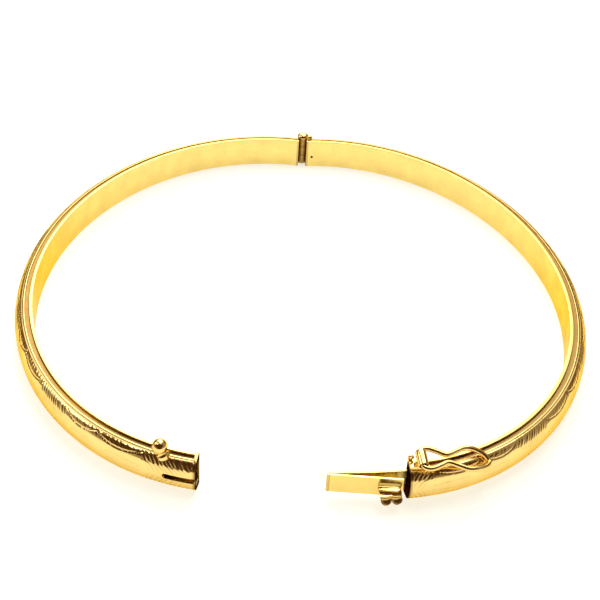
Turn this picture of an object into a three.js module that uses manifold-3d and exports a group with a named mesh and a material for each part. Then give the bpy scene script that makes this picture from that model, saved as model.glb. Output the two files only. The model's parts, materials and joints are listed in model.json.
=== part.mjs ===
// A hinged oval bangle bracelet in yellow gold, standing flat and opened at its clasp.
// Units are millimetres and +Z is up. The band is drawn closed: the oval's centre is on the Z axis,
// the hinge is at +Y, the clasp is at -Y and the band's lower edge is at z = 0. Each half is then
// turned about the hinge pin, and the whole is shifted so that its box stands centred on the origin.
// Left (-X) is the receiver half, right (+X) is the tongue half, which also carries the safety catch.
// In a cross-section, n is the distance outwards from the inner face and z is the height.
import * as THREE from "three";
import { mergeVertices } from "three/addons/utils/BufferGeometryUtils.js";
import Module from "manifold-3d";

const wasm = await Module();
wasm.setup();

// ---- Oval and band section
const INNER_LENGTH = 60;      // hinge to clasp, inside
const INNER_WIDTH = 48;       // side to side, inside
const BAND_HEIGHT = 3.7;
const BAND_THICKNESS = 1.95;  // inner face to crown
const LINER_RIM = 0.38;       // thickness of the liner's edges
const LINER_FLOOR = 0.2;      // thickness of the liner between its edges
const LINER_RIM_HEIGHT = 0.5;
const SHELL_WALL = 0.22;
const GROOVE_WIDTH = 0.46;    // groove between the liner's rim and the shell's shoulder
const GROOVE_DEPTH = 0.26;
const SHOULDER_DROP = 0.1;    // shoulder below the liner's edge
const DOME_POWER = 2.1;       // superellipse exponent of the dome outside
const BORE_POWER = 2.8;       // the same inside: the stamped shell is thinner at its corners
const SOLDER_GAP = 0.03;      // between pieces soldered together
const VENT_RADIUS = 0.18;     // vent hole in the tongue half's liner
const VENT_FROM_SLIT = 0.75;
const VENT_Z = 1.4;

// ---- Opening
const OPEN_ANGLE = 17.5;      // between the halves as they lie

// ---- Hinge
const HINGE_INSET = 0.6;      // pin axis inside the crown
const HINGE_SLIT = 0.68;      // slit between the halves
const HINGE_PLATE = 0.3;
const KNUCKLE_RADIUS = 0.55;
const KNUCKLE_GAP = 0.06;
const KNUCKLE_WEB = 0.7;      // width of the web between knuckle and plate
const PIN_RADIUS = 0.28;
const PIN_CLEARANCE = 0.03;
const PIN_HEAD_RADIUS = 0.75;
const PIN_HEAD_HEIGHT = 0.5;
const PIN_TAIL_RADIUS = 0.34;
const PIN_TAIL_HEIGHT = 0.4;
const PIN_TAIL_REACH = 0.95;  // tail's centre to the side of the pin's axis
const PIN_TAIL_INSET = 0.25;

// ---- Clasp: end plates, slot, tongue
const CLASP_GAP = 0.06;       // between the end plates when closed
const END_PLATE = 0.34;
const BACK_WALL = 0.3;
const BACK_WALL_CLEARANCE = 0.9;
const SLOT_LENGTH = 3.1;
const SLOT_HEIGHT = 0.58;
const MOUTH_LIP = 0.14;       // overlap of the mouth's lips on the sprung leaf
const MOUTH_CLEARANCE = 0.06;
const TONGUE_LENGTH = 7.3;
const TONGUE_HEIGHT = 2.1;
const LEAF_THICKNESS = 0.2;
const FOLD_GAP = 0.04;        // between the leaves where they meet at the fold
const LEAF_ROOF_GAP = 0.16;   // sprung leaf's free end below the shell's inner crown
const LEAF_END_SETBACK = 0.14;
const WINDOW_HEIGHT = 0.5;    // window left in the sprung leaf where the lug was bent out

// ---- Thumb lug on the sprung leaf
const LUG_WIDTH = 2.0;
const LUG_SETBACK = 0.75;
const LUG_SHELF_THICKNESS = 0.2;
const LUG_TOP_DROP = 0.03;    // top of the lug below the band's middle
const LUG_REACH = 0.57;       // outer face of the lug beyond the crown
const LUG_FRONT_THICKNESS = 0.22;
const LUG_LOBE_DROP = 0.28;
const LUG_SLANT = 1.05;       // longer gap across the leaf's slant

// ---- Ball post
const POST_STATION = 3.05;    // along the band from the clasp plane
const POST_OFFSET = 1.05;
const POST_LEAN = 18;
const BALL_RADIUS = 0.72;
const BALL_STAND = 0.18;      // ball's underside from the foot, along the post
const POST_RADIUS = 0.33;
const COLLAR_RADIUS = 0.6;
const COLLAR_TOP_RADIUS = 0.45;
const COLLAR_HEIGHT = 0.35;
const POST_FOOT_DROP = 0.3;

// ---- Safety catch
const CATCH_STATION = 1.05;   // hinge tube from the clasp plane
const CATCH_OFFSET = 0.8;
const CATCH_RISE = 0.95;      // tube axis above the band
const CATCH_TILT = 12;        // tube axis leans up towards the inside
const REST_LOWEST = -15;      // the folded-back figure eight is raised from here, in degrees,
const REST_STEP = 0.5;        // by these steps,
const REST_GAP = 0.03;        // until it clears the band by this
const TUBE_LENGTH = 1.55;
const TUBE_WALL = 0.23;
const WIRE_RADIUS = 0.245;
const WIRE_CLEARANCE = 0.08;
const EIGHT_INNER = 1.06;     // half width of the inner loop
const EIGHT_WAIST = 0.42;
const BALL_CLEARANCE = 0.15;  // between the outer loop's wire and the ball inside it
const EIGHT_WAIST_AT = 2.45;
const EIGHT_OUTER_AT = 4.62;
const EIGHT_LENGTH = 6.66;
const EIGHT_TIP_BEND = 0.5;
const CATCH_PLATE = 0.24;
const CATCH_PLATE_LENGTH = 1.75;
const CATCH_PLATE_WIDTH = 1.1;
const BRACKET_WIDTH = 0.6;
const EYE_RADIUS = 0.2;
const EYE_WIRE = 0.11;

// ---- Smoothness
const BAND_STEPS = 40;
const DOME_STEPS = 12;
const BORE_STEPS = 9;
const ROUND_STEPS = 18;
const WIRE_SIDES = 8;
const WIRE_STEPS = 64;

// ---- Worked out from the above
const A = INNER_WIDTH / 2;
const B = INNER_LENGTH / 2;
const MID = BAND_HEIGHT / 2;
const HINGE_Y = B + BAND_THICKNESS - HINGE_INSET;
const SHELL_BASE = LINER_RIM + SOLDER_GAP;
const SHOULDER_N = LINER_RIM + GROOVE_WIDTH;
const SHOULDER_HALF = MID - SHOULDER_DROP;
const GROOVE_HALF = MID - GROOVE_DEPTH;
const BORE_HALF = GROOVE_HALF - SHELL_WALL;
const BALL_RISE = BALL_STAND + BALL_RADIUS;
const CROWN_INSIDE = BAND_THICKNESS - SHELL_WALL;
const TONGUE_FLOOR = LINER_FLOOR + MOUTH_CLEARANCE;
const FOLD_THICKNESS = 2 * LEAF_THICKNESS + FOLD_GAP;
const LEAF_END_N = CROWN_INSIDE - LEAF_ROOF_GAP;
const PLATE_IN = CLASP_GAP / 2;
const PLATE_OUT = PLATE_IN + END_PLATE;
const HINGE_IN = HINGE_SLIT / 2;
const HINGE_OUT = HINGE_IN + HINGE_PLATE;
const FAR = 20;               // larger than any local feature

const gold = new THREE.MeshStandardMaterial({ color: 0xe2b454, metalness: 1, roughness: 0.18 });
const satinGold = new THREE.MeshStandardMaterial({ color: 0xe8c468, metalness: 1, roughness: 0.34 });

// ---- Solids
function solid(geometry) {
  const bare = geometry.clone();
  bare.deleteAttribute("normal");
  bare.deleteAttribute("uv");
  const merged = mergeVertices(bare, 1e-5);
  const vertProperties = new Float32Array(merged.attributes.position.array);
  const triVerts = new Uint32Array(merged.index.array);
  return new wasm.Manifold(new wasm.Mesh({ numProp: 3, vertProperties, triVerts }));
}

function geometryOf(manifold) {
  const mesh = manifold.getMesh();
  const geometry = new THREE.BufferGeometry();
  geometry.setAttribute("position", new THREE.BufferAttribute(mesh.vertProperties, 3));
  geometry.setIndex(new THREE.BufferAttribute(mesh.triVerts, 1));
  geometry.computeVertexNormals();
  return geometry;
}

function cut(base, ...tools) {
  return tools.reduce((left, tool) => left.subtract(solid(tool)), solid(base));
}

function join(...geometries) {
  return geometries.map(solid).reduce((all, next) => all.add(next));
}

// ---- Placing
const X_AXIS = new THREE.Vector3(1, 0, 0);
const Z_AXIS = new THREE.Vector3(0, 0, 1);

// A point beside the clasp plane, where the inner face is square to Y.
function atClasp(x, n, z) {
  return new THREE.Vector3(x, -B - n, z);
}

function frameOf(origin, xDirection, yDirection) {
  const zDirection = new THREE.Vector3().crossVectors(xDirection, yDirection);
  return new THREE.Matrix4().makeBasis(xDirection, yDirection, zDirection).setPosition(origin);
}

// Box between two corners, in world axes.
function boxBetween(low, high) {
  const size = new THREE.Vector3().subVectors(high, low);
  const centre = new THREE.Vector3().addVectors(low, high).multiplyScalar(0.5);
  return new THREE.BoxGeometry(size.x, size.y, size.z).translate(centre.x, centre.y, centre.z);
}

// Cylinder from a point along a direction.
function rod(start, direction, length, radius, topRadius = radius) {
  const turn = new THREE.Quaternion().setFromUnitVectors(new THREE.Vector3(0, 1, 0), direction);
  const geometry = new THREE.CylinderGeometry(topRadius, radius, length, ROUND_STEPS);
  geometry.translate(0, length / 2, 0).applyQuaternion(turn);
  return geometry.translate(start.x, start.y, start.z);
}

// A flat outline in the plan (x, y), raised from zLow to zHigh.
function slabOf(outline, zLow, zHigh) {
  const shape = new THREE.Shape(outline);
  const options = { depth: zHigh - zLow, bevelEnabled: false, curveSegments: ROUND_STEPS };
  return new THREE.ExtrudeGeometry(shape, options).translate(0, 0, zLow);
}

// ---- Band
// Half of the oval, clockwise seen from above, so that its left side is the outside.
class HalfOval extends THREE.Curve {
  constructor(side) {
    super();
    this.side = side;
  }
  getPoint(t, target = new THREE.Vector3()) {
    const turn = this.side > 0 ? Math.PI / 2 - t * Math.PI : -Math.PI / 2 - t * Math.PI;
    return target.set(A * Math.cos(turn), B * Math.sin(turn), 0);
  }
}

// The inner face at a distance along the band from the clasp plane.
function station(side, distance) {
  const path = new HalfOval(side);
  const t = distance / path.getLength();
  const u = side > 0 ? 1 - t : t;
  const along = path.getTangentAt(u).multiplyScalar(-side);
  const outward = new THREE.Vector3(along.y, -along.x, 0).multiplyScalar(side);
  return { point: path.getPointAt(u), along, outward };
}

// Dome in section, from the upper shoulder over the crown to the lower one.
function dome(reach, halfHeight, power, limit, steps) {
  const points = [];
  for (let i = 0; i <= steps; i++) {
    const turn = Math.PI * (0.5 - i / steps);
    const n = SHOULDER_N + reach * Math.abs(Math.cos(turn)) ** (2 / power);
    const sine = Math.sin(turn);
    const rise = halfHeight * Math.sign(sine) * Math.abs(sine) ** (2 / power);
    points.push([n, MID + Math.max(-limit, Math.min(limit, rise))]);
  }
  return points;
}

function outerDome(grow = 0) {
  const half = SHOULDER_HALF + grow;
  return dome(BAND_THICKNESS - SHOULDER_N + grow, half, DOME_POWER, half, DOME_STEPS);
}

function boreDome(shrink = 0) {
  const reach = CROWN_INSIDE - SHOULDER_N - shrink;
  const half = SHOULDER_HALF - SHELL_WALL - shrink;
  const points = dome(reach, half, BORE_POWER, BORE_HALF - shrink, BORE_STEPS);
  return points.slice(1, -1);
}

// Sections are lists of [n, z]. A swept shape's x is -z and its y is n.
function sweep(side, section) {
  const shape = new THREE.Shape(section.map(([n, z]) => new THREE.Vector2(-z, n)));
  const options = { steps: BAND_STEPS, bevelEnabled: false, extrudePath: new HalfOval(side) };
  return new THREE.ExtrudeGeometry(shape, options);
}

function shellSection() {
  return [
    [SHELL_BASE, MID + GROOVE_HALF],
    [SHOULDER_N, MID + GROOVE_HALF],
    ...outerDome(),
    [SHOULDER_N, MID - GROOVE_HALF],
    [SHELL_BASE, MID - GROOVE_HALF],
    [SHELL_BASE, MID - BORE_HALF],
    ...boreDome().reverse(),
    [SHELL_BASE, MID + BORE_HALF],
  ];
}

function linerSection() {
  return [
    [0, 0],
    [0, BAND_HEIGHT],
    [LINER_RIM, BAND_HEIGHT],
    [LINER_RIM, BAND_HEIGHT - LINER_RIM_HEIGHT],
    [LINER_FLOOR, BAND_HEIGHT - LINER_RIM_HEIGHT],
    [LINER_FLOOR, LINER_RIM_HEIGHT],
    [LINER_RIM, LINER_RIM_HEIGHT],
    [LINER_RIM, 0],
  ];
}

// The whole band as a solid bar, grown a little, to seat what is soldered on top of it.
function seatSection() {
  return [
    [-SOLDER_GAP, -SOLDER_GAP],
    [-SOLDER_GAP, BAND_HEIGHT + SOLDER_GAP],
    [LINER_RIM + SOLDER_GAP, BAND_HEIGHT + SOLDER_GAP],
    ...outerDome(SOLDER_GAP),
    [LINER_RIM + SOLDER_GAP, -SOLDER_GAP],
  ];
}

function plateSection() {
  return [[0, 0], [0, BAND_HEIGHT], [LINER_RIM, BAND_HEIGHT], ...outerDome(), [LINER_RIM, 0]];
}

// Space between the halves at both ends, taken off everything swept.
function endSlabs() {
  const clasp = PLATE_OUT + SOLDER_GAP;
  const hinge = HINGE_OUT + SOLDER_GAP;
  return [
    boxBetween(new THREE.Vector3(-clasp, -B - FAR, -FAR), new THREE.Vector3(clasp, -B / 2, FAR)),
    boxBetween(new THREE.Vector3(-hinge, B / 2, -FAR), new THREE.Vector3(hinge, B + FAR, FAR)),
  ];
}

// A cross-section stood up in the plane x = from and thickened to x = to.
function standingPlate(section, from, to, outwardY, baseY) {
  const shape = new THREE.Shape(section.map(([n, z]) => new THREE.Vector2(n, z)));
  const options = { depth: Math.abs(to - from), bevelEnabled: false };
  const geometry = new THREE.ExtrudeGeometry(shape, options);
  const outward = new THREE.Vector3(0, outwardY, 0);
  const start = outwardY > 0 ? Math.min(from, to) : Math.max(from, to);
  return geometry.applyMatrix4(frameOf(new THREE.Vector3(start, baseY, 0), outward, Z_AXIS));
}

function claspPlate(section, from, to) {
  return standingPlate(section, from, to, -1, -B);
}

function hingePlate(section, from, to) {
  return standingPlate(section, from, to, 1, B);
}

// ---- Hinge
const KNUCKLE_LENGTH = (BAND_HEIGHT - 2 * KNUCKLE_GAP) / 3;
const KNUCKLE_LEVELS = [0, 1, 2].map((level) => level * (KNUCKLE_LENGTH + KNUCKLE_GAP));

function hingePoint(z) {
  return new THREE.Vector3(0, HINGE_Y, z);
}

function webBox(side, level, grow) {
  const reach = HINGE_OUT - SOLDER_GAP + grow;
  const xs = [side * PIN_RADIUS * 1.5, side * reach].sort((a, b) => a - b);
  const half = KNUCKLE_WEB / 2 + grow;
  const bottom = KNUCKLE_LEVELS[level] - grow;
  const top = bottom + KNUCKLE_LENGTH + 2 * grow;
  const low = new THREE.Vector3(xs[0], HINGE_Y - half, bottom);
  const high = new THREE.Vector3(xs[1], HINGE_Y + half, top);
  return boxBetween(low, high);
}

function knuckle(side, level) {
  const barrel = rod(hingePoint(KNUCKLE_LEVELS[level]), Z_AXIS, KNUCKLE_LENGTH, KNUCKLE_RADIUS);
  const bore = rod(hingePoint(-FAR), Z_AXIS, 2 * FAR, PIN_RADIUS + PIN_CLEARANCE);
  return join(barrel, webBox(side, level, 0)).subtract(solid(bore));
}

function hingeEndPlate(side, levels) {
  const plate = hingePlate(plateSection(), side * HINGE_IN, side * HINGE_OUT);
  const swing = rod(hingePoint(-FAR), Z_AXIS, 2 * FAR, KNUCKLE_RADIUS + KNUCKLE_GAP);
  return cut(plate, swing, ...levels.map((level) => webBox(side, level, SOLDER_GAP)));
}

// Half profile of a domed head, from its flat underside to its top.
function domeProfile(radius, height, steps) {
  const points = [new THREE.Vector2(0, 0)];
  for (let i = 0; i < steps; i++) {
    const turn = (i / steps) * (Math.PI / 2);
    points.push(new THREE.Vector2(radius * Math.cos(turn), height * Math.sin(turn)));
  }
  points.push(new THREE.Vector2(0, height));
  return points;
}

function hingePin() {
  const under = BAND_HEIGHT + 2 * SOLDER_GAP;
  const shank = rod(hingePoint(0), Z_AXIS, under + SOLDER_GAP, PIN_RADIUS);
  const head = new THREE.LatheGeometry(domeProfile(PIN_HEAD_RADIUS, PIN_HEAD_HEIGHT, 6), ROUND_STEPS);
  head.rotateX(Math.PI / 2).translate(0, HINGE_Y, under);
  return join(shank, head);
}

// The pin's turned-over tail, a small bead beside its head.
function pinTail() {
  const under = BAND_HEIGHT + 2 * SOLDER_GAP;
  const bead = new THREE.LatheGeometry(domeProfile(PIN_TAIL_RADIUS, PIN_TAIL_HEIGHT, 5), ROUND_STEPS);
  bead.rotateX(Math.PI / 2).translate(PIN_TAIL_REACH, HINGE_Y - PIN_TAIL_INSET, under);
  const head = rod(hingePoint(-FAR), Z_AXIS, 2 * FAR, PIN_HEAD_RADIUS + SOLDER_GAP);
  return cut(bead, head);
}

// ---- Clasp: receiver side
function slotCutter() {
  const half = SLOT_HEIGHT / 2;
  const end = -(SLOT_LENGTH - half);
  const start = CROWN_INSIDE / 2;
  const low = atClasp(end, BAND_THICKNESS + 1, MID - half);
  const high = atClasp(FAR, start, MID + half);
  const round = rod(atClasp(end, start, MID), new THREE.Vector3(0, -1, 0), 2, half);
  return join(boxBetween(low, high), round);
}

function mouthPlate() {
  const plate = claspPlate(plateSection(), -PLATE_IN, -PLATE_OUT);
  const half = TONGUE_HEIGHT / 2 + MOUTH_CLEARANCE;
  const low = atClasp(-1, LEAF_END_N - MOUTH_LIP, MID - half);
  const high = atClasp(1, LINER_FLOOR, MID + half);
  return cut(plate, boxBetween(low, high)).subtract(slotCutter());
}

// Space between the shell and the liner's floor, less a gap all round.
function boreSection(gap) {
  return [
    [LINER_FLOOR + gap, MID - BORE_HALF + gap],
    ...boreDome(gap).reverse(),
    [LINER_FLOOR + gap, MID + BORE_HALF - gap],
  ];
}

// Bulkhead across the bore behind the tongue's tip, curved with the band.
function backWall() {
  const seat = station(-1, TONGUE_LENGTH + BACK_WALL_CLEARANCE);
  const slab = new THREE.BoxGeometry(4 * BAND_THICKNESS, 4 * BAND_HEIGHT, BACK_WALL);
  slab.translate(0, 0, BACK_WALL / 2).applyMatrix4(frameOf(seat.point, seat.outward, Z_AXIS));
  return solid(sweep(-1, boreSection(SOLDER_GAP))).intersect(solid(slab));
}

// ---- Clasp: tongue side. The fixed leaf runs on an arc about the hinge pin, so that it slides
// through the mouth without touching it.
function tongueArc(radius, x) {
  return new THREE.Vector2(x, HINGE_Y - Math.sqrt(radius * radius - x * x));
}

const FLOOR_ARC = HINGE_Y + B + TONGUE_FLOOR;
const FOLD_X = -(TONGUE_LENGTH - FOLD_THICKNESS / 2);

function fixedLeaf() {
  const outline = [];
  for (let i = 0; i <= 8; i++) {
    outline.push(tongueArc(FLOOR_ARC, PLATE_IN - SOLDER_GAP + (FOLD_X - PLATE_IN) * (i / 8)));
  }
  const centre = tongueArc(FLOOR_ARC + FOLD_THICKNESS / 2, FOLD_X);
  for (let i = 0; i <= 8; i++) {
    const turn = Math.PI / 2 + (i / 8) * Math.PI;
    const radius = FOLD_THICKNESS / 2;
    const round = new THREE.Vector2(Math.cos(turn), Math.sin(turn)).multiplyScalar(radius);
    outline.push(round.add(centre));
  }
  for (let i = 8; i >= 0; i--) {
    const x = PLATE_IN - SOLDER_GAP + (FOLD_X + SOLDER_GAP - PLATE_IN) * (i / 8);
    outline.push(tongueArc(FLOOR_ARC + LEAF_THICKNESS, x));
  }
  return slabOf(outline, MID - TONGUE_HEIGHT / 2, MID + TONGUE_HEIGHT / 2);
}

// Ends of the sprung leaf's middle line in the plan, from the fold to the free end.
const LEAF_FOLD = tongueArc(FLOOR_ARC + FOLD_THICKNESS - LEAF_THICKNESS / 2, FOLD_X + SOLDER_GAP);
const LEAF_END = new THREE.Vector2(-(PLATE_OUT + LEAF_END_SETBACK), -B - LEAF_END_N + LEAF_THICKNESS / 2);

function leafPoint(x, side) {
  const run = new THREE.Vector2().subVectors(LEAF_END, LEAF_FOLD);
  const t = (x - LEAF_FOLD.x) / run.x;
  const outward = new THREE.Vector2(run.y, -run.x).normalize();
  return LEAF_FOLD.clone().addScaledVector(run, t).addScaledVector(outward, side * LEAF_THICKNESS / 2);
}

const LUG_TOP = MID - LUG_TOP_DROP;
const LUG_X = [-(LUG_SETBACK + LUG_WIDTH), -LUG_SETBACK];
const LUG_FRONT_N = BAND_THICKNESS + LUG_REACH - LUG_FRONT_THICKNESS;

function sprungLeaf() {
  const inner = [LEAF_END.x, LEAF_FOLD.x].map((x) => leafPoint(x, -1));
  const outer = [LEAF_FOLD.x, LEAF_END.x].map((x) => leafPoint(x, 1));
  const leaf = slabOf([...inner, ...outer], MID - TONGUE_HEIGHT / 2, MID + TONGUE_HEIGHT / 2);
  const low = atClasp(LUG_X[0], LEAF_END_N + 1, LUG_TOP + SOLDER_GAP);
  const high = atClasp(LUG_X[1], 0, LUG_TOP + SOLDER_GAP + WINDOW_HEIGHT);
  return cut(leaf, boxBetween(low, high));
}

function lugShelf() {
  const clear = LEAF_THICKNESS / 2 + SOLDER_GAP;
  const inner = LUG_X.map((x) => leafPoint(x, 0).add(new THREE.Vector2(0, -clear * LUG_SLANT)));
  const outer = LUG_X.map((x) => new THREE.Vector2(x, -B - LUG_FRONT_N + SOLDER_GAP));
  const outline = [inner[0], outer[0], outer[1], inner[1]];
  return slabOf(outline, LUG_TOP - LUG_SHELF_THICKNESS, LUG_TOP);
}

// Front of the lug: a straight top edge and two round lobes below.
function lugFront() {
  const radius = LUG_WIDTH / 4;
  const shape = new THREE.Shape();
  shape.moveTo(-LUG_WIDTH / 2, 0);
  shape.lineTo(-LUG_WIDTH / 2, -LUG_LOBE_DROP);
  shape.absarc(-radius, -LUG_LOBE_DROP, radius, Math.PI, 2 * Math.PI, false);
  shape.absarc(radius, -LUG_LOBE_DROP, radius, Math.PI, 2 * Math.PI, false);
  shape.lineTo(LUG_WIDTH / 2, 0);
  const options = { depth: LUG_FRONT_THICKNESS, bevelEnabled: false, curveSegments: 8 };
  const front = new THREE.ExtrudeGeometry(shape, options);
  const start = atClasp((LUG_X[0] + LUG_X[1]) / 2, LUG_FRONT_N, LUG_TOP);
  return front.applyMatrix4(frameOf(start, X_AXIS, Z_AXIS));
}

// ---- Ball post, leaning away from the clasp
function ballPost() {
  const seat = station(-1, POST_STATION);
  const lean = THREE.MathUtils.degToRad(POST_LEAN);
  const axis = Z_AXIS.clone().multiplyScalar(Math.cos(lean));
  axis.addScaledVector(seat.along, Math.sin(lean));
  const foot = seat.point.clone().addScaledVector(seat.outward, POST_OFFSET);
  foot.z = BAND_HEIGHT - SHOULDER_DROP;
  const low = foot.clone().addScaledVector(axis, -POST_FOOT_DROP);
  const bar = solid(sweep(-1, seatSection()));
  const centre = foot.clone().addScaledVector(axis, BALL_RISE);
  const ball = new THREE.SphereGeometry(BALL_RADIUS, ROUND_STEPS, ROUND_STEPS / 2);
  ball.translate(centre.x, centre.y, centre.z);
  const shank = rod(low, axis, BALL_RISE + POST_FOOT_DROP, POST_RADIUS);
  const collar = rod(low, axis, COLLAR_HEIGHT + POST_FOOT_DROP, COLLAR_RADIUS, COLLAR_TOP_RADIUS);
  const bore = rod(low.clone().addScaledVector(axis, -1), axis, 3, POST_RADIUS + SOLDER_GAP);
  const clearBall = new THREE.SphereGeometry(BALL_RADIUS + SOLDER_GAP, ROUND_STEPS, ROUND_STEPS / 2);
  clearBall.translate(centre.x, centre.y, centre.z);
  return {
    post: join(ball, shank).subtract(bar),
    collar: cut(collar, bore, clearBall).subtract(bar),
  };
}

// ---- Safety catch. Its own axes: along (folded back over the band), across (the tube's axis,
// rising towards the inside) and up.
const TUBE_RADIUS = WIRE_RADIUS + WIRE_CLEARANCE + TUBE_WALL;
const EIGHT_OUTER = BALL_RADIUS + WIRE_RADIUS + BALL_CLEARANCE;   // half width of the outer loop
const TILT = THREE.MathUtils.degToRad(CATCH_TILT);
const CATCH_ACROSS = new THREE.Vector3(0, Math.cos(TILT), Math.sin(TILT));
const CATCH_UP = new THREE.Vector3().crossVectors(X_AXIS, CATCH_ACROSS);
const CATCH_CENTRE = atClasp(CATCH_STATION, CATCH_OFFSET, BAND_HEIGHT + CATCH_RISE);
const CATCH_FRAME = frameOf(CATCH_CENTRE, X_AXIS, CATCH_ACROSS);

function catchPoint(along, across, up) {
  return new THREE.Vector3(along, across, up).applyMatrix4(CATCH_FRAME);
}

function catchTube() {
  const bore = WIRE_RADIUS + WIRE_CLEARANCE;
  const half = TUBE_LENGTH / 2;
  const ring = [[bore, -half], [TUBE_RADIUS, -half], [TUBE_RADIUS, half], [bore, half], [bore, -half]];
  const tube = new THREE.LatheGeometry(ring.map(([r, y]) => new THREE.Vector2(r, y)), ROUND_STEPS);
  return tube.applyMatrix4(CATCH_FRAME);
}

// Base plate seated on the band, with an upstand under the tube.
function catchBase() {
  const start = PLATE_IN + SOLDER_GAP;
  const low = atClasp(start, CATCH_PLATE_WIDTH, MID + GROOVE_HALF);
  const high = atClasp(start + CATCH_PLATE_LENGTH, SOLDER_GAP, BAND_HEIGHT + SOLDER_GAP + CATCH_PLATE);
  const bar = solid(sweep(1, seatSection())).add(solid(claspPlate(seatSection(), 0, PLATE_OUT + 1)));
  const bracket = new THREE.BoxGeometry(BRACKET_WIDTH, TUBE_LENGTH * 0.6, CATCH_RISE);
  bracket.translate(0, 0, -CATCH_RISE / 2 - TUBE_RADIUS / 2).applyMatrix4(CATCH_FRAME);
  const round = rod(catchPoint(0, -FAR, 0), CATCH_ACROSS, 2 * FAR, TUBE_RADIUS + SOLDER_GAP);
  const whole = join(boxBetween(low, high), bracket).subtract(solid(round)).subtract(bar);
  return whole.decompose().sort((a, b) => b.volume() - a.volume())[0];
}

// Small eye standing on the rim at the very end.
function catchEye() {
  const eye = new THREE.TorusGeometry(EYE_RADIUS, EYE_WIRE, 8, ROUND_STEPS).rotateX(Math.PI / 2);
  const top = BAND_HEIGHT + 2 * SOLDER_GAP + CATCH_PLATE;
  const seat = atClasp(PLATE_IN + EYE_RADIUS, LINER_RIM / 2, top + EYE_RADIUS + EYE_WIRE * 0.7);
  const below = boxBetween(new THREE.Vector3(-FAR, -B - FAR, 0), new THREE.Vector3(FAR, 0, top));
  return cut(eye.translate(seat.x, seat.y, seat.z), below);
}

// Middle line of the figure-eight wire: both ends lie in the tube, and the far tip bends down.
class FigureEight extends THREE.Curve {
  constructor() {
    super();
    const inTube = TUBE_LENGTH / 2;
    const swell = EIGHT_OUTER_AT - EIGHT_WAIST_AT;
    const close = EIGHT_LENGTH - EIGHT_OUTER_AT;
    const half = [
      [0, WIRE_RADIUS / 4],
      [0, inTube * 0.5],
      [0, inTube],
      [WIRE_RADIUS, EIGHT_INNER - WIRE_RADIUS / 4],
      [EIGHT_WAIST_AT * 0.33, EIGHT_INNER],
      [EIGHT_WAIST_AT * 0.68, (EIGHT_INNER + EIGHT_WAIST) / 2],
      [EIGHT_WAIST_AT, EIGHT_WAIST],
      [EIGHT_OUTER_AT - swell * 0.5, (EIGHT_OUTER + EIGHT_WAIST) / 2 + 0.05],
      [EIGHT_OUTER_AT - swell * 0.18, EIGHT_OUTER - 0.02],
      [EIGHT_OUTER_AT + close * 0.2, EIGHT_OUTER - 0.02],
      [EIGHT_OUTER_AT + close * 0.75, EIGHT_OUTER * 0.6],
    ];
    const bend = (along) => {
      const past = Math.max(0, (along - EIGHT_OUTER_AT) / close);
      return -EIGHT_TIP_BEND * past * past;
    };
    const one = half.map(([along, across]) => new THREE.Vector3(along, -across, bend(along)));
    const other = half.map(([along, across]) => new THREE.Vector3(along, across, bend(along))).reverse();
    const tip = new THREE.Vector3(EIGHT_LENGTH, 0, bend(EIGHT_LENGTH));
    this.line = new THREE.CatmullRomCurve3([...one, tip, ...other], false, "centripetal");
  }
  getPoint(t, target = new THREE.Vector3()) {
    return this.line.getPoint(t, target);
  }
}

// The wire at an angle about its tube: zero is square to the tube's upstand.
function figureEightAt(degrees) {
  const circle = new THREE.Shape();
  circle.absarc(0, 0, WIRE_RADIUS, 0, 2 * Math.PI, false);
  const section = new THREE.Shape(circle.getPoints(WIRE_SIDES / 2).slice(0, -1));
  const options = { steps: WIRE_STEPS, bevelEnabled: false, extrudePath: new FigureEight() };
  const wire = new THREE.ExtrudeGeometry(section, options);
  wire.rotateY(-THREE.MathUtils.degToRad(degrees));
  return solid(wire.applyMatrix4(CATCH_FRAME));
}

// Folded back, the wire lies as low as the pieces under it let it.
function figureEight(...under) {
  let degrees = REST_LOWEST;
  let wire = figureEightAt(degrees);
  while (under.some((one) => wire.minGap(one, 1) < REST_GAP)) {
    degrees += REST_STEP;
    wire = figureEightAt(degrees);
  }
  return wire;
}

// ---- Assembly
function piece(name, made, material = gold) {
  const geometry = made.isBufferGeometry ? made : geometryOf(made);
  const mesh = new THREE.Mesh(geometry, material);
  mesh.name = name;
  return mesh;
}

function halfBand(side) {
  const slabs = endSlabs();
  const shell = cut(sweep(side, shellSection()), ...slabs);
  const liner = cut(sweep(side, linerSection()), ...slabs);
  return { shell, liner };
}

function vented(liner) {
  const start = new THREE.Vector3(HINGE_IN + VENT_FROM_SLIT, B - 1, VENT_Z);
  return liner.subtract(solid(rod(start, new THREE.Vector3(0, 1, 0), 3, VENT_RADIUS)));
}

// A group that turns its pieces about the hinge pin.
function turned(angle) {
  const group = new THREE.Group();
  group.position.set(0, HINGE_Y, 0);
  group.rotation.z = angle;
  const inner = new THREE.Group();
  inner.position.set(0, -HINGE_Y, 0);
  group.add(inner);
  return { group, inner };
}

const receiver = halfBand(-1);
const tongue = halfBand(1);
const post = ballPost();
const halfOpen = THREE.MathUtils.degToRad(OPEN_ANGLE / 2);
const left = turned(-halfOpen);
const right = turned(halfOpen);

left.inner.add(
  piece("receiver_shell", receiver.shell.subtract(slotCutter())),
  piece("receiver_liner", receiver.liner, satinGold),
  piece("receiver_hinge_plate", hingeEndPlate(-1, [0, 2])),
  piece("hinge_knuckle_bottom", knuckle(-1, 0)),
  piece("hinge_knuckle_top", knuckle(-1, 2)),
  piece("hinge_pin", hingePin()),
  piece("hinge_pin_tail", pinTail()),
  piece("receiver_mouth_plate", mouthPlate()),
  piece("receiver_back_wall", backWall()),
  piece("ball_post_collar", post.collar),
  piece("ball_post", post.post),
);

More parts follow.
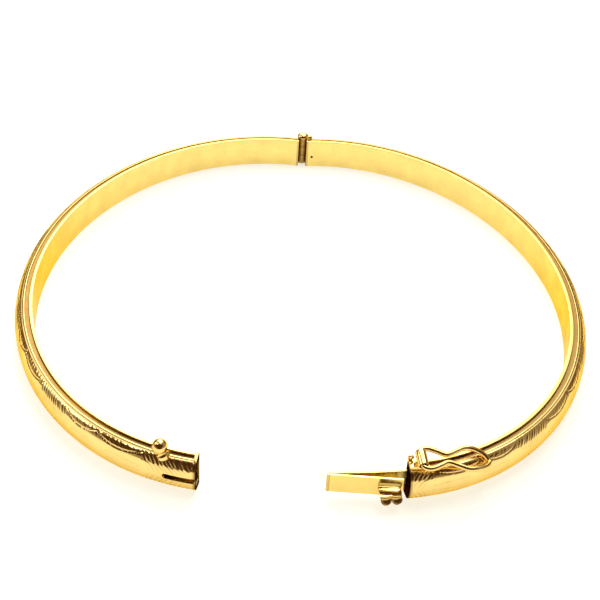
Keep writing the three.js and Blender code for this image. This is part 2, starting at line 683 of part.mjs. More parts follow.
right.inner.add(
  piece("tongue_shell", tongue.shell),
  piece("tongue_liner", vented(tongue.liner), satinGold),
  piece("tongue_hinge_plate", hingeEndPlate(1, [1])),
  piece("hinge_knuckle_centre", knuckle(1, 1)),
  piece("tongue_end_plate", claspPlate(plateSection(), PLATE_IN, PLATE_OUT)),
  piece("tongue_fixed_leaf", fixedLeaf(), satinGold),
  piece("tongue_sprung_leaf", sprungLeaf(), satinGold),
  piece("thumb_lug_shelf", lugShelf()),
  piece("thumb_lug_front", lugFront()),
  piece("catch_base_plate", catchBase()),
  piece("catch_hinge_tube", catchTube()),
  piece("catch_end_eye", catchEye()),
  piece("figure_eight_wire", figureEight(tongue.shell, tongue.liner)),
);

const bangle = new THREE.Group();
bangle.add(left.group, right.group);
bangle.updateMatrixWorld(true);
const bounds = new THREE.Box3().setFromObject(bangle, true);
const centre = bounds.getCenter(new THREE.Vector3());
bangle.position.set(-centre.x, -centre.y, -bounds.min.z);

const part = new THREE.Group();
part.add(bangle);
export default part;
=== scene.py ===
import json
import math

import bmesh
import bpy
import numpy as np
from mathutils import Matrix, Vector

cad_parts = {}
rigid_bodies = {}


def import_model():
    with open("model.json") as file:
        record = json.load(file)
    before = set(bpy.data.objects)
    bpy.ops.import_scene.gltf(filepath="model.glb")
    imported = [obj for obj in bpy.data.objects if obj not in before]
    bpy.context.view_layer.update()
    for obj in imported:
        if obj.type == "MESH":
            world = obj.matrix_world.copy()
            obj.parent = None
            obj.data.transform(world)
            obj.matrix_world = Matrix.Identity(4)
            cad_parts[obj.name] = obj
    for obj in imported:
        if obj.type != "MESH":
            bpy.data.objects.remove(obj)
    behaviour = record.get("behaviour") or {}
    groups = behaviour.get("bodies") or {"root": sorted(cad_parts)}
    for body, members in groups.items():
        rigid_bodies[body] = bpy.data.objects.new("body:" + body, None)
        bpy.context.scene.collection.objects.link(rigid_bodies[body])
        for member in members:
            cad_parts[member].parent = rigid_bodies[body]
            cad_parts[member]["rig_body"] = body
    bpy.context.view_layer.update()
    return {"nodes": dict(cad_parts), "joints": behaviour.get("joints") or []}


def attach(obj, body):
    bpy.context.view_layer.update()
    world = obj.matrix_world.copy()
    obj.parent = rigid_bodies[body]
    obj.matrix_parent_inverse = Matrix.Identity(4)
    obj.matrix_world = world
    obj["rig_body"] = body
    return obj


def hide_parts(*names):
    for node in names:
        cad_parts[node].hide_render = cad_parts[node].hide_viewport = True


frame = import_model()

# All shapes are worked out in millimetres and stored in metres.
MM = 0.001

# ---- Sizes, the CAD part's own unless a comment says otherwise
INNER_LENGTH = 60.0
INNER_WIDTH = 48.0
BAND_HEIGHT = 3.7
BAND_THICKNESS = 1.95    # from the inner face to the crown
LINER_RIM = 0.38         # thickness of the liner's edges
LINER_FLOOR = 0.2        # thickness of the liner between its edges
LINER_RIM_HEIGHT = 0.5
SHELL_WALL = 0.22
GROOVE_WIDTH = 0.46
GROOVE_DEPTH = 0.26
SHOULDER_DROP = 0.1
DOME_POWER = 2.1
BORE_POWER = 2.8
SOLDER_GAP = 0.03
HINGE_OFFSET = 1.35      # the pin's axis from the inner face
PLATE_IN = 0.03          # the end plates' faces from the clasp plane
END_PLATE_OUT = 0.37     # the end plates' backs from the clasp plane
HINGE_PLATE_OUT = 0.64   # the hinge plates' backs from the hinge's middle plane
SEAM_LAP = 0.06          # not in the CAD: the bands reach this far over their end and hinge plates
VENT_RADIUS = 0.17       # the CAD's is 0.18
VENT_STATION = 1.09      # from the hinge's middle plane
VENT_Z = 1.4
SLOT_LENGTH = 3.1
SLOT_HEIGHT = 0.58
TONGUE_HEIGHT = 2.1
LEAF_THICKNESS = 0.2
LEAF_ROOF_GAP = 0.16     # the sprung leaf's free end below the inside of the shell's crown
LEAF_END_SETBACK = 0.14  # the same end from the back of the end plate
LUG_WIDTH = 2.0
LUG_SETBACK = 0.75
LUG_REACH = 0.57
LUG_FRONT_THICKNESS = 0.22
LUG_LOBE_DROP = 0.28
LUG_STRIP = 0.14         # thickness of the curled strip. The CAD's front is a solid block
LUG_TOP = 1.82
WINDOW_HEIGHT = 0.5
POST_STATION = 3.05      # along the band from the clasp plane
POST_OFFSET = 1.05
POST_LEAN = math.radians(18)
POST_FOOT_DROP = 0.3
BALL_RADIUS = 0.72
BALL_RISE = 0.9          # the ball's centre from the foot, along the post
POST_RADIUS = 0.33
COLLAR_RADIUS = 0.6
COLLAR_TOP_RADIUS = 0.45
COLLAR_HEIGHT = 0.35
PIN_RADIUS = 0.28
PIN_HEAD_RADIUS = 0.75
PIN_HEAD_HEIGHT = 0.5
TUBE_RADIUS = 0.555
TUBE_LENGTH = 1.55
WIRE_RADIUS = 0.245
WIRE_CLEARANCE = 0.08
CATCH_STATION = 1.05
CATCH_OFFSET = 0.8
CATCH_RISE = 0.95        # the tube's axis above the band
CATCH_TILT = math.radians(12)
CATCH_REST = math.radians(-6.5)
CATCH_PLATE = 0.24
EYE_RADIUS = 0.2
EYE_WIRE = 0.11
EIGHT_INNER = 1.06       # half widths of the figure eight, and where they are along it
EIGHT_WAIST = 0.42
EIGHT_OUTER = 1.115
EIGHT_WAIST_AT = 2.45
EIGHT_OUTER_AT = 4.62
EIGHT_LENGTH = 6.66
EIGHT_TIP_BEND = 0.5

# ---- Places read from the frame
JOINTS = {joint["name"]: joint for joint in frame["joints"]}
HINGE = np.array(JOINTS["main_hinge"]["pos_m"]) / MM
HALF_OPEN = math.radians(-JOINTS["main_hinge"]["range_deg"][0] / 2)

MID = BAND_HEIGHT / 2
A = INNER_WIDTH / 2
B = INNER_LENGTH / 2
SHELL_BASE = LINER_RIM + SOLDER_GAP
SHOULDER_N = LINER_RIM + GROOVE_WIDTH
SHOULDER_HALF = MID - SHOULDER_DROP
GROOVE_HALF = MID - GROOVE_DEPTH
LEFT = -1
RIGHT = 1
BODY = {LEFT: "receiver_half", RIGHT: "tongue_half"}
UP = np.array([0.0, 0.0, 1.0])


# ---- Materials
MOTTLE_SCALE = 420.0       # noise scales, per metre
WEAR_SCALE = 1600.0
GRAIN_SCALE = 9000.0
SATIN_GRAIN_SCALE = 2600.0
GRAIN_DEPTH = 0.01         # in millimetres
TARNISH_AND_PAINTED_SHADE_ROUGHNESS = 0.25   # added where the tarnish and painted shade are full


def tint(colour, factor):
    return tuple(min(1.0, channel * factor) for channel in colour) + (1.0,)


def noise(nodes, link, vector, scale, detail):
    texture = nodes.new("ShaderNodeTexNoise")
    texture.inputs["Scale"].default_value = scale
    texture.inputs["Detail"].default_value = detail
    link(vector, texture.inputs["Vector"])
    return texture.outputs["Fac"]


def gold(name, colour, roughness, mottle, grain, grain_scale=GRAIN_SCALE, stretch=1.0):
    """Yellow gold with slow mottling, handling marks in its shine, a fine grain, dark tarnish and painted
    shade.

    The darkening lies where a piece's attribute says: tarnish in grooves and engraver's cuts, painted shade
    on the end plates' clasp faces, the receiver's back wall, the fixed leaf and the lug's curl."""
    material = bpy.data.materials.new(name)
    material.use_nodes = True
    nodes = material.node_tree.nodes
    link = material.node_tree.links.new
    shader = nodes["Principled BSDF"]
    shader.inputs["Metallic"].default_value = 1.0
    place = nodes.new("ShaderNodeTexCoord").outputs["Object"]

    ramp = nodes.new("ShaderNodeValToRGB")
    ramp.color_ramp.elements[0].position = 0.3
    ramp.color_ramp.elements[1].position = 0.7
    ramp.color_ramp.elements[0].color = tint(colour, 1.0 - mottle)
    ramp.color_ramp.elements[1].color = tint(colour, 1.0 + mottle)
    link(noise(nodes, link, place, MOTTLE_SCALE, detail=3.0), ramp.inputs["Fac"])
    tarnish_and_painted_shade = nodes.new("ShaderNodeAttribute")
    tarnish_and_painted_shade.attribute_name = "tarnish_and_painted_shade"
    darken = nodes.new("ShaderNodeMix")
    darken.data_type = "RGBA"
    darken.inputs["B"].default_value = TARNISH_AND_PAINTED_SHADE
    link(tarnish_and_painted_shade.outputs["Fac"], darken.inputs["Factor"])
    link(ramp.outputs["Color"], darken.inputs["A"])
    link(darken.outputs["Result"], shader.inputs["Base Color"])
    link(darken.outputs["Result"], shader.inputs["Specular Tint"])

    spread = nodes.new("ShaderNodeMapRange")
    spread.inputs["From Min"].default_value = 0.35
    spread.inputs["From Max"].default_value = 0.75
    spread.inputs["To Min"].default_value = roughness * 0.8
    spread.inputs["To Max"].default_value = roughness * 1.5
    link(noise(nodes, link, place, WEAR_SCALE, detail=5.0), spread.inputs["Value"])
    dull = nodes.new("ShaderNodeMath")
    dull.operation = "MULTIPLY_ADD"
    dull.inputs[1].default_value = TARNISH_AND_PAINTED_SHADE_ROUGHNESS
    link(tarnish_and_painted_shade.outputs["Fac"], dull.inputs[0])
    link(spread.outputs["Result"], dull.inputs[2])
    link(dull.outputs["Value"], shader.inputs["Roughness"])

    turn = nodes.new("ShaderNodeMapping")
    turn.inputs["Scale"].default_value = (1.0, 1.0, stretch)
    link(place, turn.inputs["Vector"])
    bump = nodes.new("ShaderNodeBump")
    bump.inputs["Strength"].default_value = grain
    bump.inputs["Distance"].default_value = GRAIN_DEPTH * MM
    grains = noise(nodes, link, turn.outputs["Vector"], grain_scale, detail=4.0)
    link(grains, bump.inputs["Height"])
    link(bump.outputs["Normal"], shader.inputs["Normal"])
    return material


GOLD = (0.95, 0.69, 0.25)
PALE_GOLD = (0.96, 0.71, 0.22)
# Dark brown for tarnish, and for painted shade
TARNISH_AND_PAINTED_SHADE = (0.1, 0.032, 0.006, 1.0)
MATERIALS = {
    "engraved_gold": gold("engraved_gold", GOLD, roughness=0.12, mottle=0.05, grain=0.3),
    "polished_gold": gold("polished_gold", GOLD, roughness=0.1, mottle=0.04, grain=0.2),
    "satin_gold": gold("satin_gold", PALE_GOLD, roughness=0.2, mottle=0.07, grain=0.6,
                       grain_scale=SATIN_GRAIN_SCALE, stretch=4.0),
    "spring_gold": gold("spring_gold", PALE_GOLD, roughness=0.2, mottle=0.06, grain=0.5,
                        grain_scale=SATIN_GRAIN_SCALE, stretch=0.25),
    "wire_gold": gold("wire_gold", GOLD, roughness=0.08, mottle=0.04, grain=0.15),
}


# ---- Mesh helpers
def new_mesh(name, points, faces, scale=MM, tarnish_and_painted_shade=None):
    mesh = bpy.data.meshes.new(name)
    mesh.from_pydata([tuple(p) for p in np.asarray(points) * scale], [], faces)
    if tarnish_and_painted_shade is not None:
        layer = mesh.attributes.new("tarnish_and_painted_shade", "FLOAT", "POINT")
        layer.data.foreach_set("value", np.asarray(tarnish_and_painted_shade, float).ravel())
    return mesh


def make_piece(name, points, faces, slot, body, replaced, sharp=35.0, tarnish_and_painted_shade=None):
    """A mesh from points in millimetres, riding on a body and standing for CAD nodes."""
    return finish_piece(name, new_mesh(name, points, faces, MM, tarnish_and_painted_shade), slot, body, replaced, sharp)


def finish_piece(name, mesh, slot, body, replaced, sharp=35.0):
    shade(mesh, sharp)
    piece = bpy.data.objects.new(name, mesh)
    bpy.context.scene.collection.objects.link(piece)
    mesh.materials.clear()
    mesh.materials.append(MATERIALS[slot])
    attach(piece, body)
    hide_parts(*replaced)
    return piece


def flatten(piece):
    """Keep the large faces of a bevelled piece flat in their shading."""
    piece.modifiers.new("flat_faces", "WEIGHTED_NORMAL").keep_sharp = True


def shade(mesh, sharp):
    """Smooth shading with edges kept crisp where the faces turn by more than the sharp angle."""
    work = bmesh.new()
    work.from_mesh(mesh)
    bmesh.ops.recalc_face_normals(work, faces=work.faces)
    limit = math.radians(sharp)
    for face in work.faces:
        face.smooth = True
    for edge in work.edges:
        edge.smooth = len(edge.link_faces) != 2 or edge.calc_face_angle(0.0) < limit
    work.to_mesh(mesh)
    work.free()


def grid_faces(rows, columns, close_rows=False, close_columns=False):
    """Quads of a rows by columns grid of points."""
    row_count = rows if close_rows else rows - 1
    column_count = columns if close_columns else columns - 1
    faces = []
    for i in range(row_count):
        here = i * columns
        there = ((i + 1) % rows) * columns
        for j in range(column_count):
            k = (j + 1) % columns
            faces.append((here + j, here + k, there + k, there + j))
    return faces


def swept(rings):
    """Points and faces of closed rings joined one after the other, with both ends capped."""
    rows, columns = rings.shape[:2]
    faces = grid_faces(rows, columns, close_columns=True)
    faces.append(tuple(range(columns - 1, -1, -1)))
    faces.append(tuple((rows - 1) * columns + j for j in range(columns)))
    return rings.reshape(-1, 3), faces


def spokes(axis, steps):
    """An axis as a unit vector, and unit vectors spaced evenly round it."""
    axis = np.asarray(axis, float) / np.linalg.norm(axis)
    side = np.cross(axis, [1.0, 0.0, 0.0])
    if np.linalg.norm(side) < 0.1:
        side = np.cross(axis, [0.0, 1.0, 0.0])
    side /= np.linalg.norm(side)
    other = np.cross(axis, side)
    angle = np.linspace(0, 2 * np.pi, steps, endpoint=False)
    return axis, np.outer(np.cos(angle), side) + np.outer(np.sin(angle), other)


def turned(profile, centre, axis, steps=64):
    """A solid of revolution: profile is [radius, height] pairs that start and end on the axis."""
    axis, outwards = spokes(axis, steps)
    inner = [pair for pair in profile if pair[0] > 0]
    rings = np.array([centre + axis * height + outwards * radius for radius, height in inner])
    points = rings.reshape(-1, 3)
    faces = grid_faces(len(inner), steps, close_columns=True)
    low = centre + axis * profile[0][1]
    high = centre + axis * profile[-1][1]
    points = np.vstack([points, low, high])
    last = (len(inner) - 1) * steps
    for j in range(steps):
        k = (j + 1) % steps
        faces.append((k, j, len(points) - 2))
        faces.append((last + j, last + k, len(points) - 1))
    return points, faces


def ring_of(profile, centre, axis, steps=64):
    """A ring: a closed profile of [radius, height] pairs turned about an axis."""
    axis, outwards = spokes(axis, steps)
    rings = np.array([[centre + axis * h + r * out for r, h in profile] for out in outwards])
    faces = grid_faces(steps, len(profile), close_rows=True, close_columns=True)
    return rings.reshape(-1, 3), faces


STRAIGHT = -0.985        # corners with a cosine below this aren't rounded


def rounded(outline, radius, steps=4):
    """A closed outline in the plane with each corner rounded, by steps + 1 points."""
    outline = [np.asarray(p, float) for p in outline]
    result = []
    count = len(outline)
    for i, corner in enumerate(outline):
        back = outline[i - 1] - corner
        ahead = outline[(i + 1) % count] - corner
        back_length = np.linalg.norm(back)
        ahead_length = np.linalg.norm(ahead)
        back /= back_length
        ahead /= ahead_length
        cosine = float(np.clip(np.dot(back, ahead), -1, 1))
        if cosine < STRAIGHT:
            result.append(corner)
            continue
        half = math.acos(cosine) / 2
        cutback = min(radius / math.tan(half), back_length * 0.45, ahead_length * 0.45)
        start = corner + back * cutback
        end = corner + ahead * cutback
        for k in range(steps + 1):
            t = k / steps
            result.append((1 - t) ** 2 * start + 2 * t * (1 - t) * corner + t ** 2 * end)
    return np.array(result)


# ---- The band's path
def to_row(side, points):
    """From the closed band's frame, one half turned open about the hinge, to the row frame."""
    points = np.asarray(points, float)
    turn = side * HALF_OPEN
    x = points[..., 0]
    y = points[..., 1] - (B + HINGE_OFFSET)
    result = np.empty(points.shape)
    result[..., 0] = HINGE[0] + x * math.cos(turn) - y * math.sin(turn)
    result[..., 1] = HINGE[1] + x * math.sin(turn) + y * math.cos(turn)
    result[..., 2] = points[..., 2]
    return result


def turn_row(side, direction):
    """A direction turned with its half."""
    cosine, sine = math.cos(side * HALF_OPEN), math.sin(side * HALF_OPEN)
    x, y, z = direction
    return np.array([x * cosine - y * sine, x * sine + y * cosine, z])


ANGLES = np.linspace(-np.pi / 2, np.pi / 2, 4001)
OVAL_STEPS = np.hypot(np.diff(A * np.cos(ANGLES)), np.diff(B * np.sin(ANGLES)))
OVAL_LENGTHS = np.concatenate([[0.0], np.cumsum(OVAL_STEPS)])
HALF_LENGTH = OVAL_LENGTHS[-1]


def stations(side, distances):
    """Inner-face points and outward directions at distances along a half from the clasp."""
    turn = np.interp(distances, OVAL_LENGTHS, ANGLES)
    points = np.stack([side * A * np.cos(turn), B * np.sin(turn), np.zeros_like(turn)], axis=-1)
    outward = np.stack([side * B * np.cos(turn), A * np.sin(turn), np.zeros_like(turn)], axis=-1)
    outward /= np.linalg.norm(outward, axis=-1, keepdims=True)
    return points, outward


def band_rings(side, distances, section):
    """Rings of section points [n, z], the same one at each distance or one for each."""
    points, outward = stations(side, distances)
    section = np.broadcast_to(section, (len(distances),) + np.shape(section)[-2:])
    rings = points[:, None, :] + outward[:, None, :] * section[..., 0:1] + UP * section[..., 1:2]
    return to_row(side, rings)


# ---- Engraved shell
def dome_points(reach, half, power, count):
    """Half a superellipse from shoulder to shoulder, as [n, z] points."""
    turn = np.linspace(np.pi / 2, -np.pi / 2, count)
    sine, cosine = np.sin(turn), np.abs(np.cos(turn))
    n = SHOULDER_N + reach * cosine ** (2 / power)
    z = MID + half * np.sign(sine) * np.abs(sine) ** (2 / power)
    return np.stack([n, z], axis=-1)


def lengths_along(line):
    gaps = np.linalg.norm(np.diff(line, axis=0), axis=1)
    return np.concatenate([[0.0], np.cumsum(gaps)])


def resample(line, step):
    reach = lengths_along(line)
    count = max(2, int(round(reach[-1] / step)) + 1)
    at = np.linspace(0, reach[-1], count)
    return np.stack([np.interp(at, reach, line[:, k]) for k in range(line.shape[1])], axis=-1)


def profile_normals(line):
    run = np.gradient(line, axis=0)
    normals = np.stack([-run[:, 1], run[:, 0]], axis=-1)
    normals /= np.linalg.norm(normals, axis=1, keepdims=True)
    if normals[len(normals) // 2, 0] < 0:
        normals = -normals
    return normals


def v_cut(distance, width):
    """Depth share of a V-shaped graver's cut at a distance from its middle."""
    return np.clip(1 - np.abs(distance) / (width / 2), 0, 1)


def chance(number, seed):
    """A repeatable value from 0 to 1 for each stroke. The factors only mix the digits."""
    mixed = np.sin(number * 12.9898 + seed * 78.233) * 43758.5453
    return mixed - np.floor(mixed)


def strokes(s, across, start, end, near, far, pitch, slant, width, curve=0.0, seed=0):
    """A row of tapering graver strokes between two lines along the band, each a little different."""
    phase = (s - start - slant * (across - near) - curve * (across - near) ** 2) / pitch
    number = np.floor(phase)
    offset = (phase - number - 0.35 - 0.3 * chance(number, seed)) * pitch
    low = near + 0.2 * (far - near) * chance(number, seed + 1)
    reach = np.clip((across - low) / (far - low), 0, 1)
    taper = np.sin(np.pi * reach) ** 0.6
    inside = (across > low) & (across < far) & (s > start) & (s < end)
    edge = np.clip(np.minimum(s - start, end - s) / 0.4, 0, 1)
    force = 0.6 + 0.4 * chance(number, seed + 2)
    return v_cut(offset, width * (0.35 + 0.65 * taper)) * taper * force * inside * (0.4 + 0.6 * edge)


# The pattern: a hatched length, then a long and a short leaf-shaped lobe, repeated along the band.
HATCH = 4.4
LOBE_LONG = 4.9
LOBE_SHORT = 3.9
REPEAT = HATCH + LOBE_LONG + LOBE_SHORT
PATTERN_START = {LEFT: 0.35, RIGHT: -2.5}
CUT_DEPTH = 0.1
LOWER_CUTS = 0.95        # share of the depth below the crown
BORDER_INSET = 0.16      # border line from the shoulder
BORDER_WIDTH = 0.12      # widths of the single lines, and their shares of the depth
BORDER_SHARE = 0.45
BOW_WIDTH = 0.14
BOW_SHARE = 0.8
VEIN_WIDTH = 0.1
VEIN_SHARE = 0.5
VEIN_END = 0.72          # share of its lobe that a vein runs along
INNER_ROW_SHARE = 0.6    # shares of the depth for rows of strokes
BARB_SHARE = 0.45


def engraving(s, across, edge, offset):
    """Depth of the cuts. s runs along the band, across from the crown to a shoulder at edge."""
    side = np.abs(across)
    near, middle, far = 0.12, edge * 0.5, edge - BORDER_INSET - 0.08
    depth = BORDER_SHARE * v_cut(side - (edge - BORDER_INSET), BORDER_WIDTH)
    start = offset
    while start < HALF_LENGTH:
        end = start + HATCH
        upper_row = strokes(s, side, start, end, middle - 0.2, far,
                            pitch=0.36, slant=0.62, width=0.3, curve=0.12)
        inner_row = strokes(s, side, start + 0.3, end - 0.3, near, middle + 0.15,
                            pitch=0.42, slant=0.7, width=0.24, seed=5)
        depth = np.maximum(depth, np.maximum(upper_row, INNER_ROW_SHARE * inner_row))
        lobe_start = end
        for length in (LOBE_LONG, LOBE_SHORT):
            share = (s - lobe_start) / length
            inside = (share > 0) & (share < 1)
            bow = far - 0.15 - 0.62 * np.sin(np.pi * np.clip(share, 0, 1)) ** 0.7
            vein = near + 0.1 + 0.25 * np.sin(np.pi * np.clip(share, 0, 1))
            depth = np.maximum(depth, BOW_SHARE * inside * v_cut(side - bow, BOW_WIDTH))
            along_vein = inside * (share < VEIN_END)
            depth = np.maximum(depth, VEIN_SHARE * along_vein * v_cut(side - vein, VEIN_WIDTH))
            ticks = strokes(s, side, lobe_start - 0.5, lobe_start + 0.6, far - 0.75, far,
                            pitch=0.34, slant=0.8, width=0.2)
            depth = np.maximum(depth, ticks)
            barbs = strokes(s, side, lobe_start + 0.2 * length, lobe_start + 0.8 * length, bow, far,
                            pitch=0.5, slant=0.9, width=0.16)
            depth = np.maximum(depth, BARB_SHARE * barbs)
            lobe_start += length
        start += REPEAT
    return CUT_DEPTH * depth * np.where(across < 0, LOWER_CUTS, 1.0)


ALONG_STEP = 0.08
AROUND_STEP = 0.075
GROOVE_TARNISH = 0.8
CUT_TARNISH = 0.6


def make_shell(side, offset):
    """Points, faces and tarnish of one engraved skin, with its groove edges and plain inside."""
    along_step = ALONG_STEP
    around_step = AROUND_STEP
    s = np.arange(END_PLATE_OUT - SEAM_LAP, HALF_LENGTH - HINGE_PLATE_OUT + SEAM_LAP, along_step)
    corner_points = 4
    corners = [
        [SHELL_BASE, MID + GROOVE_HALF],
        [SHOULDER_N, MID + GROOVE_HALF],
        [SHOULDER_N, MID + SHOULDER_HALF],
        [SHOULDER_N + 0.3, MID + SHOULDER_HALF],
    ]
    # Only the two middle corners are the shoulder's own.
    shoulder = rounded(corners, 0.035, steps=corner_points - 1)[corner_points:3 * corner_points]
    reach_outside = BAND_THICKNESS - SHOULDER_N
    dome = resample(dome_points(reach_outside, SHOULDER_HALF, DOME_POWER, 600), around_step)
    dome = dome[dome[:, 0] > SHOULDER_N + 0.07]
    upper = np.vstack([[SHELL_BASE, MID + GROOVE_HALF], shoulder])
    lower = upper[::-1] * [1, -1] + [0, 2 * MID]
    outer = np.vstack([upper, dome, lower])
    first = len(upper)
    last = first + len(dome)
    reach = lengths_along(dome)
    across = reach[-1] / 2 - reach
    normals = profile_normals(dome)
    depth = engraving(s[:, None], across[None, :], reach[-1] / 2, offset)
    reach_inside = BAND_THICKNESS - SHELL_WALL - SHOULDER_N
    bore = dome_points(reach_inside, SHOULDER_HALF - SHELL_WALL, BORE_POWER, 12)[1:-1]
    limit = GROOVE_HALF - SHELL_WALL
    bore[:, 1] = np.clip(bore[:, 1], MID - limit, MID + limit)
    inner = np.vstack([[SHELL_BASE, MID + limit], bore, [SHELL_BASE, MID - limit]])[::-1]
    section = np.vstack([outer, inner])
    sections = np.repeat(section[None], len(s), axis=0)
    sections[:, first:last] -= depth[..., None] * normals[None]
    tarnish_and_painted_shade = np.zeros(sections.shape[:2])
    tarnish_and_painted_shade[:, :3] = GROOVE_TARNISH
    tarnish_and_painted_shade[:, last + len(lower) - 3:last + len(lower)] = GROOVE_TARNISH
    tarnish_and_painted_shade[:, first:last] = CUT_TARNISH * depth / CUT_DEPTH
    points, faces = swept(band_rings(side, s, sections))
    return points, faces, tarnish_and_painted_shade


def cut_with(points, faces, cutters, tarnish_and_painted_shade=None):
    """Boolean difference, worked out in millimetres. Returns a mesh in metres."""
    mesh = new_mesh("work", points, faces, 1.0, tarnish_and_painted_shade)
    work = bpy.data.objects.new("work", mesh)
    bpy.context.scene.collection.objects.link(work)
    tools = []
    for number, (cutter_points, cutter_faces) in enumerate(cutters):
        cutter_mesh = new_mesh(f"cutter_{number}", cutter_points, cutter_faces, 1.0)
        cutter = bpy.data.objects.new(f"cutter_{number}", cutter_mesh)
        bpy.context.scene.collection.objects.link(cutter)
        tools.append(cutter)
        modifier = work.modifiers.new(f"cut_{number}", "BOOLEAN")
        modifier.operation = "DIFFERENCE"
        modifier.solver = "EXACT"
        modifier.object = cutter
    bpy.context.view_layer.update()
    graph = bpy.context.evaluated_depsgraph_get()
    result = bpy.data.meshes.new_from_object(work.evaluated_get(graph))
    for thing in [work, *tools]:
        data = thing.data
        bpy.data.objects.remove(thing)
        bpy.data.meshes.remove(data)
    result.transform(Matrix.Scale(MM, 4))
    return result


def slot_cutter(side):
    """The lug's slot, open at the clasp and round at its far end."""
    half = SLOT_HEIGHT / 2
    past = 0.5
    inner = BAND_THICKNESS - SHELL_WALL - 0.9
    end = -SLOT_LENGTH + half
    turn = np.linspace(np.pi / 2, 3 * np.pi / 2, 17)
    arc = [[end + half * math.cos(t), MID + half * math.sin(t)] for t in turn]
    outline = [[past, MID + half], *arc, [past, MID - half]]
    rings = np.array([[[x, -B - n, z] for x, z in outline] for n in (inner, BAND_THICKNESS + 1.0)])
    return swept(to_row(side, rings))


def build_shells():
    points, faces, tarnish_and_painted_shade = make_shell(LEFT, PATTERN_START[LEFT])
    mesh = cut_with(points, faces, [slot_cutter(LEFT)], tarnish_and_painted_shade)
    finish_piece("receiver_shell_engraved", mesh, "engraved_gold", BODY[LEFT], ["receiver_shell"],
                 sharp=60.0)
    points, faces, tarnish_and_painted_shade = make_shell(RIGHT, PATTERN_START[RIGHT])
    make_piece("tongue_shell_engraved", points, faces, "engraved_gold", BODY[RIGHT],
               ["tongue_shell"], sharp=60.0, tarnish_and_painted_shade=tarnish_and_painted_shade)


# ---- Liners
def build_liners():
    section = rounded([
        [0, 0],
        [0, BAND_HEIGHT],
        [LINER_RIM, BAND_HEIGHT],
        [LINER_RIM, BAND_HEIGHT - LINER_RIM_HEIGHT],
        [LINER_FLOOR, BAND_HEIGHT - LINER_RIM_HEIGHT],
        [LINER_FLOOR, LINER_RIM_HEIGHT],
        [LINER_RIM, LINER_RIM_HEIGHT],
        [LINER_RIM, 0],
    ], radius=0.07, steps=4)
    s = np.linspace(END_PLATE_OUT - SEAM_LAP, HALF_LENGTH - HINGE_PLATE_OUT + SEAM_LAP, 260)
    points, faces = swept(band_rings(LEFT, s, section))
    make_piece("receiver_liner_band", points, faces, "satin_gold", BODY[LEFT], ["receiver_liner"])
    points, faces = swept(band_rings(RIGHT, s, section))
    depth = 3
    vent_start = to_row(RIGHT, [VENT_STATION, B - 1, VENT_Z])
    vent_profile = [[0, 0], [VENT_RADIUS, 0], [VENT_RADIUS, depth], [0, depth]]
    vent = turned(vent_profile, vent_start, turn_row(RIGHT, [0, 1, 0]), steps=32)
    mesh = cut_with(points, faces, [vent])
    finish_piece("tongue_liner_band", mesh, "satin_gold", BODY[RIGHT], ["tongue_liner"])


# ---- Plain pieces: the CAD shape with softened edges
def bevelled(mesh, width, segments, angle):
    """Clean a mesh of its triangles and round its edges. The width is in millimetres."""
    work = bmesh.new()
    work.from_mesh(mesh)
    bmesh.ops.scale(work, vec=(1 / MM, 1 / MM, 1 / MM), verts=work.verts)
    bmesh.ops.remove_doubles(work, verts=work.verts, dist=1e-4)
    bmesh.ops.dissolve_limit(work, angle_limit=math.radians(1.0), verts=work.verts, edges=work.edges)
    limit = math.radians(angle)
    edges = [e for e in work.edges if len(e.link_faces) == 2 and e.calc_face_angle(0.0) > limit]
    bmesh.ops.bevel(work, geom=edges, offset=width, segments=segments, profile=0.5,
                    affect="EDGES", clamp_overlap=True)
    bmesh.ops.scale(work, vec=(MM, MM, MM), verts=work.verts)
    work.to_mesh(mesh)
    work.free()
    return mesh


EDGE_RADIUS = 0.03
EDGE_SEGMENTS = 3
EDGE_ANGLE = 28.0


def soften(node, slot, width=EDGE_RADIUS, segments=EDGE_SEGMENTS, angle=EDGE_ANGLE, tarnish_and_painted_shade=0.0):
    """A copy of a CAD node's mesh with rounded edges and an even darkening of its colour, painted shade on
    pieces in hollows.
    """
    source = frame["nodes"][node]
    mesh = source.data.copy()
    mesh.name = node + "_finished"
    bevelled(mesh, width, segments, angle)
    layer = mesh.attributes.new("tarnish_and_painted_shade", "FLOAT", "POINT")
    layer.data.foreach_set("value", np.full(len(mesh.vertices), tarnish_and_painted_shade))
    flatten(finish_piece(node + "_finished", mesh, slot, source["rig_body"], [node]))


def build_end_plate(node, side):
    """The clasp faces of the end plates carry painted shade, fading out within a tenth of a millimetre;
    their edges are left bright.
    """
    fade = 0.1
    soften(node, "polished_gold")
    mesh = bpy.data.objects[node + "_finished"].data
    outward = turn_row(side, [side, 0.0, 0.0])
    start = to_row(side, [side * PLATE_IN, 0.0, 0.0])
    points = np.array([vertex.co[:] for vertex in mesh.vertices]) / MM
    behind = (points - start) @ outward
    mesh.attributes["tarnish_and_painted_shade"].data.foreach_set("value", np.clip(1 - behind / fade, 0, 1))


def build_plain():
    for node in ("thumb_lug_shelf", "catch_base_plate"):
        soften(node, "polished_gold")
    # The hinge plates and knuckles are made evenly darker.
    for node in ("receiver_hinge_plate", "tongue_hinge_plate"):
        soften(node, "polished_gold", tarnish_and_painted_shade=0.35)
    for node in ("hinge_knuckle_bottom", "hinge_knuckle_centre", "hinge_knuckle_top"):
        soften(node, "polished_gold", tarnish_and_painted_shade=0.65)
    build_end_plate("receiver_mouth_plate", LEFT)
    build_end_plate("tongue_end_plate", RIGHT)
    # Painted shade on the receiver's back wall, inside its mouth.
    soften("receiver_back_wall", "polished_gold", tarnish_and_painted_shade=0.8)
    # Painted shade on the fixed leaf, in the gap behind the sprung leaf.
    soften("tongue_fixed_leaf", "spring_gold", tarnish_and_painted_shade=0.3)
    soften("hinge_pin_tail", "polished_gold", width=0.06, segments=4, angle=50.0)


